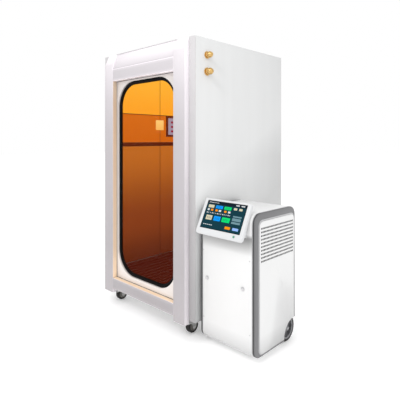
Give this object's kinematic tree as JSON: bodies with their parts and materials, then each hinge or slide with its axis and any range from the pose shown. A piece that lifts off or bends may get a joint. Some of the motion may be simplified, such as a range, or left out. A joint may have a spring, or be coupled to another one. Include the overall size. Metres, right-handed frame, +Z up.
{
  "type": "portable steam sauna",
  "caption": "White walk-in steam cabin on swivel casters with a glazed swing door, warm lit interior and a separate wheeled steam generator with a tilting touch screen.",
  "frame": {"origin": "on the floor, at the centre of the whole assembly's footprint", "axes": "+X from the cabin to the generator beside it, -Y out of the door, +Z up"},
  "size_m": [1.43, 1.0222, 1.895],
  "materials": {
    "shell_white": "satin white panel",
    "base_metal": "powder coat",
    "deck_wood": "oiled dark slats",
    "display": "dark gloss",
    "pane": "clear toughened glass",
    "screen": "dark touch glass",
    "lamp": "warm diffuser",
    "seal_rubber": "matt black",
    "steel": "brushed",
    "brass": "polished",
    "grey_plastic": "mid grey moulding",
    "tank_plastic": "translucent blue",
    "dark_plastic": "matt",
    "button": "gloss",
    "big_wheel": "dark tread on a grey hub",
    "caster_steel": "zinc plated",
    "caster_wheel": "dark tread, pale ring",
    "pedal": "matt"
  },
  "bodies": {
    "cabin": {"base_frame": "base_metal", "floor_deck": "deck_wood", "left_wall": "shell_white", "right_wall": "shell_white", "rear_wall": "shell_white", "front_wall": "shell_white", "roof_panel": "shell_white", "left_post": "shell_white", "right_post": "shell_white", "top_beam": "shell_white", "bottom_beam": "shell_white", "cornice": "shell_white", "wall_rail": "deck_wood", "wall_plate": "shell_white", "wall_display": "display", "ceiling_light": "lamp", "steam_diffuser": "deck_wood", "door_seal": "seal_rubber", "upper_port": "brass", "lower_port": "brass"},
    "door": {"door_frame": "shell_white", "door_gasket": "seal_rubber", "door_glass": "pane", "door_handle": "steel", "door_pivot_lower": "steel", "door_pivot_upper": "steel"},
    "upper_cap": {"upper_port_cap": "brass"},
    "lower_cap": {"lower_port_cap": "brass"},
    "generator": {"generator_shell": "shell_white", "generator_rim_left": "grey_plastic", "generator_rim_right": "grey_plastic", "generator_side_left": "shell_white", "generator_side_right": "shell_white", "axle_carrier": "steel", "foot_left": "seal_rubber", "foot_right": "seal_rubber", "screen_mount": "shell_white", "boiler": "steel", "water_tank": "tank_plastic", "fan_motor": "steel", "steam_outlet": "brass", "mains_inlet": "dark_plastic"},
    "generator_left_wheel": {"generator_wheel_left": "big_wheel"},
    "generator_right_wheel": {"generator_wheel_right": "big_wheel"},
    "screen": {"screen_housing": "shell_white", "screen_glass": "screen"},
    "button": {"power_button": "button"},
    "fan": {"fan_rotor": "dark_plastic"},
    "front_left_caster": {"front_left_fork": "caster_steel"},
    "front_left_roller": {"front_left_wheel": "caster_wheel"},
    "front_left_brake": {"front_left_pedal": "pedal"},
    "front_right_caster": {"front_right_fork": "caster_steel"},
    "front_right_roller": {"front_right_wheel": "caster_wheel"},
    "front_right_brake": {"front_right_pedal": "pedal"},
    "rear_left_caster": {"rear_left_fork": "caster_steel"},
    "rear_left_roller": {"rear_left_wheel": "caster_wheel"},
    "rear_left_brake": {"rear_left_pedal": "pedal"},
    "rear_right_caster": {"rear_right_fork": "caster_steel"},
    "rear_right_roller": {"rear_right_wheel": "caster_wheel"},
    "rear_right_brake": {"rear_right_pedal": "pedal"}
  },
  "joints": [
    {"name": "door_swing", "type": "hinge", "parent": "cabin", "child": "door", "pos_m": [-0.5185, -0.44394, 0], "axis": [0, 0, -1], "range_deg": [0, 100]},
    {"name": "upper_cap_turn", "type": "hinge", "parent": "cabin", "child": "upper_cap", "pos_m": [0.2853, -0.35394, 1.7875], "axis": [1, 0, 0], "continuous": true},
    {"name": "lower_cap_turn", "type": "hinge", "parent": "cabin", "child": "lower_cap", "pos_m": [0.2853, -0.35394, 1.682], "axis": [1, 0, 0], "continuous": true},
    {"name": "generator_roll", "type": "slide", "parent": "cabin", "child": "generator", "axis": [0, -1, 0], "range_m": [0, 0.5]},
    {"name": "generator_left_wheel_roll", "type": "hinge", "parent": "generator", "child": "generator_left_wheel", "pos_m": [0.3426, -0.05394, 0.08], "axis": [1, 0, 0], "continuous": true},
    {"name": "generator_right_wheel_roll", "type": "hinge", "parent": "generator", "child": "generator_right_wheel", "pos_m": [0.6724, -0.05394, 0.08], "axis": [1, 0, 0], "continuous": true},
    {"name": "screen_tilt", "type": "hinge", "parent": "generator", "child": "screen", "pos_m": [0.5075, -0.45239, 0.7361], "axis": [1, 0, 0], "range_deg": [-5, 22]},
    {"name": "power_button_press", "type": "slide", "parent": "screen", "child": "button", "axis": [0, 0.891, -0.454], "range_m": [0, 0.0015], "stiffness_N_per_m": 600},
    {"name": "fan_spin", "type": "hinge", "parent": "generator", "child": "fan", "pos_m": [0.643, -0.21894, 0.66], "axis": [1, 0, 0], "continuous": true},
    {"name": "front_left_swivel", "type": "hinge", "parent": "cabin", "child": "front_left_caster", "pos_m": [-0.605, -0.40394, 0], "axis": [0, 0, 1], "continuous": true},
    {"name": "front_left_wheel_roll", "type": "hinge", "parent": "front_left_caster", "child": "front_left_roller", "pos_m": [-0.605, -0.37894, 0.044], "axis": [1, 0, 0], "continuous": true},
    {"name": "front_left_brake_press", "type": "hinge", "parent": "front_left_caster", "child": "front_left_brake", "pos_m": [-0.605, -0.42894, 0.079], "axis": [1, 0, 0], "range_deg": [0, 12]},
    {"name": "front_right_swivel", "type": "hinge", "parent": "cabin", "child": "front_right_caster", "pos_m": [0.175, -0.40394, 0], "axis": [0, 0, 1], "continuous": true},
    {"name": "front_right_wheel_roll", "type": "hinge", "parent": "front_right_caster", "child": "front_right_roller", "pos_m": [0.175, -0.37894, 0.044], "axis": [1, 0, 0], "continuous": true},
    {"name": "front_right_brake_press", "type": "hinge", "parent": "front_right_caster", "child": "front_right_brake", "pos_m": [0.175, -0.42894, 0.079], "axis": [1, 0, 0], "range_deg": [0, 12]},
    {"name": "rear_left_swivel", "type": "hinge", "parent": "cabin", "child": "rear_left_caster", "pos_m": [-0.605, 0.43106, 0], "axis": [0, 0, 1], "continuous": true},
    {"name": "rear_left_wheel_roll", "type": "hinge", "parent": "rear_left_caster", "child": "rear_left_roller", "pos_m": [-0.605, 0.45606, 0.044], "axis": [1, 0, 0], "continuous": true},
    {"name": "rear_left_brake_press", "type": "hinge", "parent": "rear_left_caster", "child": "rear_left_brake", "pos_m": [-0.605, 0.40606, 0.079], "axis": [1, 0, 0], "range_deg": [0, 12]},
    {"name": "rear_right_swivel", "type": "hinge", "parent": "cabin", "child": "rear_right_caster", "pos_m": [0.175, 0.43106, 0], "axis": [0, 0, 1], "continuous": true},
    {"name": "rear_right_wheel_roll", "type": "hinge", "parent": "rear_right_caster", "child": "rear_right_roller", "pos_m": [0.175, 0.45606, 0.044], "axis": [1, 0, 0], "continuous": true},
    {"name": "rear_right_brake_press", "type": "hinge", "parent": "rear_right_caster", "child": "rear_right_brake", "pos_m": [0.175, 0.40606, 0.079], "axis": [1, 0, 0], "range_deg": [0, 12]}
  ]
}
